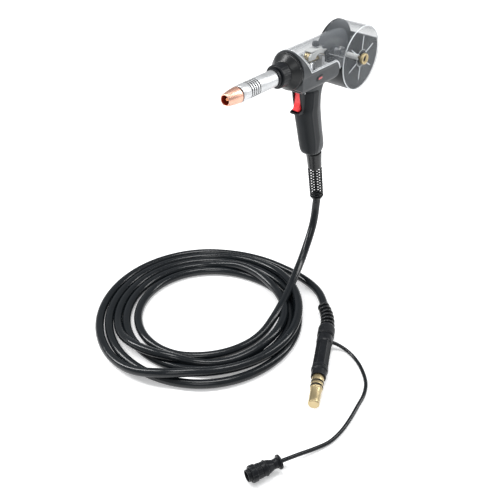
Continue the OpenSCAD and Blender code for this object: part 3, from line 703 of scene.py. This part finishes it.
def barrel():
    outline = [(-125, 12.3), (-125, 13.95, 0.6)]
    for k in range(5):
        x = -107 + 5 * k
        outline += [(x, 13.95), (x + 0.35, 13.0), (x + 1.9, 13.0), (x + 2.25, 13.95)]
    outline += [(-12.5, 13.95), (-12.5, 12.3)]
    # The groove bottoms and walls get the painted shade look
    sleeve = marked(lathe("barrel_sleeve", fillet(outline, 0.15, 2), 128), 1,
                    lambda f: 12.9 < Vector(f.center[:2]).length < 13.8 and f.center.z > -108)
    add("barrel_sleeve", sleeve, NOSE_X, "satin_chrome", "barrel_tube", (), ("recess_painted_shade",))
    ring = fillet([(-41, 14), (-41, 15.0), (-40.2, 15.6), (-36, 15.8), (-34, 15.8), (-34, 14)], 0.4, 4)
    add("barrel_slim_ring", lathe("barrel_slim_ring", ring, 96), NOSE_X, "black_plastic", "barrel_ring")


def collar():
    """The collar behind the slim ring, with faint flutes round it"""
    def ribs(a, z, r):
        if r < 18 or z < -31 or z > -15.4:
            return r
        return r - 0.22 * (0.5 - 0.5 * cos(24 * a)) ** 3

    outline = fillet([(-34, 14), (-34, 18.6), (-32.6, 19.7), (-30, 19.9), (-20, 20.1),
                      (-15.6, 20.1), (-14.4, 20.1), (-14, 19.8), (-14, 14)], 0.4, 3)
    add("collar_ribbed", lathe("collar_ribbed", outline, 24 * 12, ribs), NOSE_X, "black_plastic",
        "barrel_collar")


def dome():
    outline = (fillet([(-2, 27), (-2, 31.4), (-4.2, 30.9), (-13.2, 21.6), (-14.2, 20.2), (-14.2, 17)],
                      1.6, 6)
               + [(-14.0, 14.05), (-11, 14.05), (-11, 15), (-4, 25)])
    add("nose_dome", lathe("nose_dome", outline, 144), NOSE_X, "black_gloss", "front_dome")
    notches = [235, 310, 50, 125]

    def notched(a, z, r):
        near = min(abs((a * 180 / pi - n + 180) % 360 - 180) for n in notches)
        return 29.6 if near < 7 and r > 31 and z > -1.4 else r

    rim = [(-2, 26), (-2, 31.4), (-1.6, 31.9), (-1.4, 32), (-1.3, 32), (1.1, 32), (1.5, 31.7),
           (1.5, 26)]
    add("bayonet_notched", lathe("bayonet_notched", rim, 480, notched), NOSE_X, "black_gloss",
        "bayonet_ring")


nozzle()
barrel()
collar()
dome()

# ---------- strain relief under the grip ----------


def relief():
    """Open rings on two spines, below a plain collar"""
    length = 109.8
    collar_outline = fillet([(74.5, 8.6), (74.5, 12.9), (76.5, 13.5), (88, 13.9), (104, 14.8),
                             (length, 14.9),
                             (length, 8.6)], 1.0, 4)
    parts = [lathe("relief", collar_outline, 96)]
    pitch, count = 6.5, 11
    for k in range(count):
        z, r = 4.2 + pitch * k, 11.7 + 0.5 * k / count
        ring = [(z + 0.95 * cos(t), r + 1.7 * sin(t)) for t in [2 * pi * j / 14 for j in range(14)]]
        parts.append(lathe("relief", ring, 72))
    spine = fillet([(0, 8.3), (0, 10.4), (76, 11.2), (76, 8.3)], 1, 3)
    for middle in (-145, 35):
        parts.append(lathe("relief", spine, 10, None, middle - 12, 24))
    foot = fillet([(-1, 8.1), (-1, 10.2), (0.4, 11.6), (3.2, 11.6), (3.2, 8.1)], 0.8, 3)
    parts.append(lathe("relief", foot, 72))
    add("relief_rings", join("relief_rings", *parts), RELIEF, "relief_rubber", "strain_relief")


relief()

# ---------- power plug ----------


def power_plug():
    pin = fillet([(6, 0), (6, 8.4, 0.3), (7.0, 9.4, 0.4), (16, 9.5), (38.8, 9.5), (39.2, 10.3),
                  (40.6, 10.5), (42.8, 10.5),
                  (43.1, 9.0), (45.9, 9.0), (46.2, 10.5), (52.3, 10.5), (52.6, 9.0), (55.4, 9.0),
                  (55.7, 10.5),
                  (70, 10.5), (70, 0)], 0.25, 2)
    add("plug_pin", lathe("plug_pin", pin, 96), PLUG, "brass", "power_pin")
    rings = []
    for z in (44.5, 54.0):
        rings.append(lathe("rings", [(z + 1.25 * cos(t), 10.0 + 1.25 * sin(t))
                                     for t in [2 * pi * j / 16 for j in range(16)]], 72))
    add("plug_seals", join("plug_seals", *rings), PLUG, "soft_rubber", "pin_o_rings")

    def flats(a, z, r):
        """Eight flat panels along the middle of the body"""
        if r < 13 or z < 90 or z > 152:
            return r
        fade = smoothstep(90, 93, z) * (1 - smoothstep(149, 152, z))
        bend = (a + pi / 8) % (pi / 4) - pi / 8
        return r * (1 - fade) + fade * (min(r, 13.3 / cos(bend)) - 0.5 * (1 - smoothstep(0.32, 0.37,
                                                                                         abs(bend))))

    body = fillet([(70, 10.6), (67.0, 11.5), (66.5, 12.2), (67.0, 12.9), (79.0, 13.1), (80.2, 13.9),
                   (81.5, 14.6),
                   (86.6, 14.6), (87, 13.9), (88.4, 13.9), (88.8, 14.2), (90.5, 14.2), (93, 14.2),
                   (100, 14.2), (110, 14.2),
                   (118, 14.2), (118.4, 13.5), (119.4, 13.5), (119.8, 14.2), (130, 14.2), (140, 14.2),
                   (149, 14.2), (152, 14.2), (154, 14.6), (162, 14.6), (167.2, 14.2), (167.2, 8.4)],
                   0.5, 3)
    add("plug_housing", lathe("plug_housing", body, 192, flats), PLUG, "black_plastic", "plug_body")

    def knurl(a, z, r):
        if r < 14.5 or z < 172 or z > 190:
            return r
        return r - 0.7 * (0.5 - 0.5 * cos(30 * a)) * (0.55 + 0.45 * cos(z * 2.6))

    ring = [(168, 8.2), (168, 13.6), (168.8, 14.8), (170.4, 15.3), (171.6, 14.2), (172.4, 14.2),
            (172.8, 15.3)]
    ring += [(173 + 0.6 * k, 15.3) for k in range(0, 30)] + [(191.4, 14.8), (194.5, 13.2),
                                                             (197.4, 12.6),
                                                              (197.8, 12), (197.8, 8.2)]
    add("plug_knurled_ring", lathe("plug_knurled_ring", ring, 240, knurl), PLUG, "black_plastic",
        "plug_ring")
    parts = []
    for k in range(6):
        t = k / 5
        place = Vector(relief_line(0.08 + 0.86 * t))
        ahead = Vector(relief_line(0.08 + 0.86 * t + 0.02)) - place
        outer = 13.4 - 1.9 * t
        lip = fillet([(-2.9, 7.9), (-2.9, outer - 1.0), (-1.6, outer), (1.4, outer - 0.2),
                      (2.5, outer - 1.9),
                      (3.4, outer - 2.6), (3.4, 7.9)], 0.7, 3)
        parts.append(shifted(lathe("plug_relief", lip, 64),
                             Matrix.Translation(place) @ ahead.to_track_quat("Z",
                                                                             "Y").to_matrix().to_4x4()))
    add("plug_relief_ridges", join("plug_relief_ridges", *parts), ROW, "relief_rubber",
        "plug_strain_relief")


def relief_line(t):
    """Where the lead runs through the plug's relief, from the ring's end back to its free end"""
    start, bend, end = Vector((-139.2, -158.6, -315)), Vector((-112, -143.4, -315)), Vector((-95, -118,
                                                                                             -315.5))
    return start * (1 - t) ** 2 + bend * (2 * t * (1 - t)) + end * t * t


power_plug()


# ---------- control connector ----------


def connector():
    def lobes(a, z, r):
        return r - 0.9 * max(0, cos(6 * a)) ** 6 if r > 11 and z < 3.4 else r

    clamp = fillet([(0, 3.2), (0, 11.2), (3.2, 11.6), (3.6, 8.6), (4.2, 7.6), (5.0, 7.6), (5.6, 8.2),
                    (7.0, 8.2),
                    (7.6, 7.6), (12, 7.6), (12, 3.2)], 0.5, 3)
    add("connector_clamp", lathe("connector_clamp", clamp, 144, lobes), CONNECTOR, "black_plastic",
        "control_clamp")
    shell = fillet([(12, 5), (12, 7.6), (14, 8.4), (21, 10.9), (24, 11.1), (24.4, 12.3), (26.4, 12.3),
                    (26.8, 11.2),
                    (32, 11.2), (32, 5)], 0.5, 3)

    def panels(a, z, r):
        if r < 7 or z > 23:
            return r
        bend = (a + pi / 6) % (pi / 3) - pi / 6
        return min(r, (r * 0.94) / cos(bend))

    add("connector_shell", lathe("connector_shell", shell, 144, panels), CONNECTOR, "black_plastic",
        "control_backshell")

    def knurl(a, z, r):
        if r > 12.4 and 41 < z < 49.8:
            return r - 1.1 * max(0, cos(6 * a)) ** 6
        return r - 0.35 * max(0, cos(18 * a)) if r > 11 and 33.5 < z < 40.6 else r

    coupling = [(32.3, 9.6), (32.3, 10.8), (32.9, 11.5),
                (34, 11.7)] + [(35 + k, 11.7) for k in range(6)]
    coupling += [(40.9, 11.8), (41.3, 12.9), (41.9, 13.3), (43, 13.4), (45, 13.4), (47, 13.4),
                 (48.8, 13.4), (49.7, 13.0),
                 (50.3, 12.2), (50.3, 9.6)]
    add("connector_coupling", lathe("connector_coupling", coupling, 216, knurl), CONNECTOR,
        "black_plastic",
        "control_coupling")
    insert = fillet([(32, 0), (32, 9.5), (55.4, 9.5), (56, 9), (56, 7.8), (55.4, 7.5), (44, 7.5),
                     (44, 0)], 0.3, 2)
    keyed = lathe("connector_insert", insert, 96,
                  lambda a, z, r: (r - 1.2 if r > 9 and z > 51 and abs(a % (2 * pi / 3) - 1) < 0.13
                                   else r))
    add("connector_insert", keyed, CONNECTOR, "black_plastic", "control_insert")


connector()

# ---------- clear cover and spool drum ----------

DRUM = GUN @ Matrix.Translation((178, 0, -21)) @ FACING_Y
COVER_R = 33.0


def cover_front(z):
    return 3.4 + 21 * (max(0, 36 - z) / 39.7) ** 1.3


def cover_rear(z):
    return 178 - sqrt(59.0 ** 2 - (z + 21) ** 2)


def cover():
    """The clear half-round cover over the feed unit, with a thicker bead along its edges, painted whitish as
    an edge highlight
    """
    section = []
    for z in (-20, -16, -12, -8.6, -6, -3.4):
        section.append((-31.5 - 1.3 * smoothstep(-20, -3.4, z), z))
    for k in range(1, 48):
        a = radians(-95.5 + 191 * k / 48)
        section.append((COVER_R * sin(a), COVER_R * cos(a)))
    section += [(-y, z) for y, z in reversed(section[:6])]
    rows = []
    for y, z in section:
        if z < -3.0:
            low = min(1, max(0, (-3.4 - z) / 16.6))
            front = 96.4 + 13 * low ** 0.55 if z < -3.4 else cover_front(z)
        else:
            front = cover_front(z)
        rear = cover_rear(z)
        rows.append([(front + (rear - front) * k / 30, y, z) for k in range(31)])

    def inward(p):
        return Vector((0, -p.y, -max(0, p.z))).normalized()

    parts = [sheet("cover", rows, 2.0, inward)]
    for side in (1, -1):
        lip = -3.4
        edge = [(cover_front(z), z) for z in (30, 26, 22, 18, 14, 10, 6, 2, -1, lip + 0.6)]
        edge += [(cover_front(lip) + 2, lip), (40, lip), (55, lip), (70, lip), (85, lip), (94, lip),
                 (98, lip - 1.2), (102.5, -8), (106.5, -13), (109.4, -20)]
        for inset, radius in ((0.0, 0.95), (2.6, 0.55)):
            line = []
            for x, z in edge:
                height = z + inset * (1 if x < 96 else 0.6)
                if height > -3.4:
                    y = sqrt(max(0, (COVER_R - 0.4) ** 2 - height * height))
                else:
                    y = 31.5 + 1.1 * smoothstep(-20, -3.4, height)
                line.append((x + inset * (0.7 if z > lip else 0.0), side * y, height))
            # Each edge bead takes the whitish painted highlight look
            parts.append(marked(bead("cover", line, radius)))
    add("cover_clear", join("cover_clear", *parts), GUN, "clear_plastic", "drive_cover", (),
        ("clear_painted_highlight",))


def cap():
    """The clear disc and half wall of the spool drum, with star ribs round the knob; the rim, hub ring, wall
    edges and ribs are painted whitish as highlights
    """
    disc = fillet([(-31, 5.3), (-32.4, 5.4), (-32.4, 14.6), (-31, 15.6), (-31, 57.6), (-30.6, 58),
                   (-29, 58),
                   (-29, 5.3)], 0.3, 2)
    parts = [lathe("cap", disc, 144)]
    wall = fillet([(-29.2, 56.2), (-29.2, 58), (28, 58), (28, 56.2)], 0.4, 2)
    parts.append(lathe("cap", wall, 96, None, -164.5, 140))
    rim = [(57.4 * cos(2 * pi * k / 144), 57.4 * sin(2 * pi * k / 144), -31.0) for k in range(144)]
    # The rim, hub ring, wall edges and star ribs below take the whitish painted highlight look
    parts.append(marked(bead("cap", rim, 0.85, True)))
    hub = [(15.2 * cos(2 * pi * k / 72), 15.2 * sin(2 * pi * k / 72), -31.8) for k in range(72)]
    parts.append(marked(bead("cap", hub, 0.35, True)))
    for a in (-164.5, -24.5):
        c, n = cos(radians(a)), sin(radians(a))
        parts.append(marked(bead("cap", [(57.2 * c, 57.2 * n, z) for z in (-29, -10, 10, 28)], 0.8)))
    for k in range(6):
        a = radians(-26 - 60 * k)
        parts.append(marked(bead("cap", [(r * cos(a), r * sin(a), -30.9) for r in (16, 24, 32, 40)],
                                 0.75)))
    add("cap_clear", join("cap_clear", *parts), DRUM, "clear_plastic", "spool_cap", (), ("clear_painted_highlight",))


def spindle():
    post = fillet([(-25, 2.6), (-25, 4.6), (-24.4, 5), (25.2, 5), (25.2, 11.4), (25.8, 12), (28.5, 12),
                   (28.5, 3),
                   (31, 3), (31, 5.2), (33.6, 5.2), (34, 4.6), (34, 0), (-1, 0), (-1, 2.6)], 0.4, 2)
    add("spindle_post", marked(lathe("spindle_post", post, 72), 1, lambda f: f.center.z > 25), DRUM,
        "light_plastic", "spool_spindle", (), ("housing_dark",))
    sleeve = fillet([(-2, 5.05), (-2, 6.6), (-1, 7.4), (11.8, 7.4), (11.8, 5.05)], 0.4, 2)

    def grips(a, z, r):
        return r - 0.5 * max(0, cos(20 * a)) ** 4 if r > 9.5 and z < -34 else r

    knob = [(-36.6, 0), (-36.6, 6.6), (-36.9, 7.0), (-40.1, 7.3), (-40.5, 7.6), (-40.5, 9.3),
            (-40.1, 9.8), (-39.4, 10), (-36, 10), (-34.6, 10), (-34, 9.2), (-33.2, 8.2), (-32.8, 8.2),
            (-32.8, 2.6), (-7, 2.5), (-7, 0)]
    # The knob's hollow end face gets the painted shade look
    shell = marked(lathe("knob_turned", knob, 240, grips), 1,
                   lambda f: Vector(f.center[:2]).length < 6.7 and f.center.z < -36.4)
    add("knob_turned", shell, DRUM, "brass", "spindle_knob", (), ("recess_painted_shade",))
    add("brake_coil", bead("brake_coil", helix(6.3, 5, 15.2, 9.6), 0.85), DRUM, "steel", "brake_spring")
    ring = fillet([(12.5, 5.1), (12.5, 11), (14, 11), (14, 5.1)], 0.3, 2)
    disc = marked(lathe("brake_disc", sleeve, 72))
    add("brake_disc", join("brake_disc", lathe("brake_disc", ring, 72), disc), DRUM, "steel",
        "brake_washer",
        (), ("housing_dark",))


cover()
cap()
spindle()

# ---------- feed unit ----------


def feed_unit():
    lift = NOSE @ Matrix.Translation((77, 0, 0))

    def grips(a, z, r):
        return r - 0.7 * max(0, cos(10 * a)) ** 2 if r > 5.5 and z > 24 else r

    knob = fillet([(23.6, 1.6), (23.6, 6.2), (24.6, 6.3), (25.2, 6.0), (29.6, 6.0), (30.6, 5.2),
                   (30.6, 0),
                   (28, 0), (28, 1.6)], 0.5, 3)
    add("tension_knob_ribbed", lathe("tension_knob_ribbed", knob, 120, grips), lift, "black_plastic",
        "tension_knob")
    add("tension_coil", bead("tension_coil", helix(3.2, 2, 21.1, 1.8), 0.55), lift, "steel", "tension_spring")
    for name, x0, x1, nut, cone in (("inlet_fitting", 76, 98, 94, 70),
                                    ("outlet_fitting", 26.2, 46, 26.2, 50)):
        low, high = min(x0, cone), max(x1, cone)
        body = []
        if cone < x0:
            body = [(low, 0.9), (low, 1.7), (x0, 3.9), (nut - 0.6, 3.9), (nut - 0.6, 3.2), (nut, 3.2),
                    (nut, 6.0),
                    (high, 6.0), (high, 0.9)]
        else:
            body = [(low, 0.9), (low, 6.0), (nut + 3.8, 6.0), (nut + 3.8, 3.2), (nut + 4.4, 3.2),
                    (nut + 4.4, 3.9),
                    (x1, 3.9), (high, 1.7), (high, 0.9)]

        def hexed(a, z, r, nut=nut):
            if r < 5 or not nut - 0.1 <= z <= nut + 4.1:
                return r
            bend = (a + pi / 6) % (pi / 3) - pi / 6
            return min(r, 5.25 / cos(bend))

        add(name, lathe(name, fillet(body, 0.3, 2), 96, hexed), NOSE_X, "brass",
            name.replace("_fitting", "_guide"))
    for name, node, x, z, outer, half_width, bore in (
            ("drive_roll_turned", "drive_roll", 60, -12, 11.5, 7, 0),
            ("idler_turned", "idler_roll", 60, 9, 8.5, 5, 2.05)):
        body = [(-half_width, bore), (-half_width, outer - 2), (-half_width + 0.4, outer - 1.8),
                (-half_width, outer - 0.4),
                (-half_width + 0.5, outer), (-0.9, outer), (0, outer - 0.8), (0.9, outer),
                (half_width - 0.5, outer),
                (half_width, outer - 0.4), (half_width - 0.4, outer - 1.8), (half_width, outer - 2)]
        if node == "drive_roll":
            body = [(-9, 0), (-9, 2.6), (-8.6, 3), (-7, 3)] + body[1:] + [(7, 3), (14, 3), (14.5, 2.6),
                                                                          (14.5, 0)]
        else:
            body.append((half_width, bore))
        add(name, lathe(name, body, 96), NOSE @ Matrix.Translation((x, 0, z)) @ FACING_Y,
            slots[node], node)
    pin = fillet([(-14, 0), (-14, 5), (-13.4, 5.5), (-11, 5.5), (-11, 2), (12.5, 2), (12.5, 0)], 0.3, 2)

    def slot_head(a, z, r):
        return r - 0.5 * max(0, cos(12 * a)) ** 2 if r > 5 else r

    add("arm_pin_headed", lathe("arm_pin_headed", pin, 96, slot_head),
        NOSE @ Matrix.Translation((94, 0, 9)) @ FACING_Y, "black_plastic", "arm_pin")


feed_unit()

# ---------- floor and light ----------

floor_mesh = mesh_of("floor", [(-9, -9, 0), (9, -9, 0), (9, 9, 0), (-9, 9, 0)], [(0, 1, 2, 3)], False)
floor_look = Shader("floor", (0.93, 0.93, 0.93), 0.8, Emission_Color=(1, 1, 1, 1),
                    Specular_IOR_Level=0.1)
far = floor_look.node("ShaderNodeVectorMath", operation="LENGTH")
floor_look.link(floor_look.coords, far.inputs[0])
floor_look.link(floor_look.ramp(far.outputs["Value"], 0.28, 0.95, (0.6, 2.6)),
                floor_look.bsdf.inputs["Emission Strength"])
floor_mesh.materials.append(floor_look.material)
floor = bpy.data.objects.new("floor", floor_mesh)
floor.location = (0, 0, (FLOOR - 0.5) * MM)
scene.collection.objects.link(floor)


def soft_box(name, place, aim, size, watts):
    data = bpy.data.lights.new(name, "AREA")
    data.shape = "RECTANGLE"
    data.size, data.size_y = size
    data.energy = watts
    lamp = bpy.data.objects.new(name, data)
    lamp.location = place
    lamp.rotation_euler = (Vector(aim) - Vector(place)).to_track_quat("-Z", "Y").to_euler()
    scene.collection.objects.link(lamp)


soft_box("top", (-0.1, 0.1, 1.9), (-0.15, 0, 0), (0.7, 0.7), 17)
soft_box("left", (-0.85, 1.05, 1.0), (-0.15, 0, 0), (0.28, 1.5), 26)
soft_box("right", (0.75, -0.80, 0.9), (-0.1, 0, 0), (0.25, 1.5), 13)
soft_box("front", (-1.5, -0.9, 1.2), (-0.1, 0, 0.1), (0.6, 0.6), 5)
world = bpy.data.worlds.new("world")
scene.world = world
world.use_nodes = True
world.node_tree.nodes["Background"].inputs["Color"].default_value = (0.96, 0.98, 1, 1)
world.node_tree.nodes["Background"].inputs["Strength"].default_value = 0.42
scene.view_settings.view_transform = "Standard"
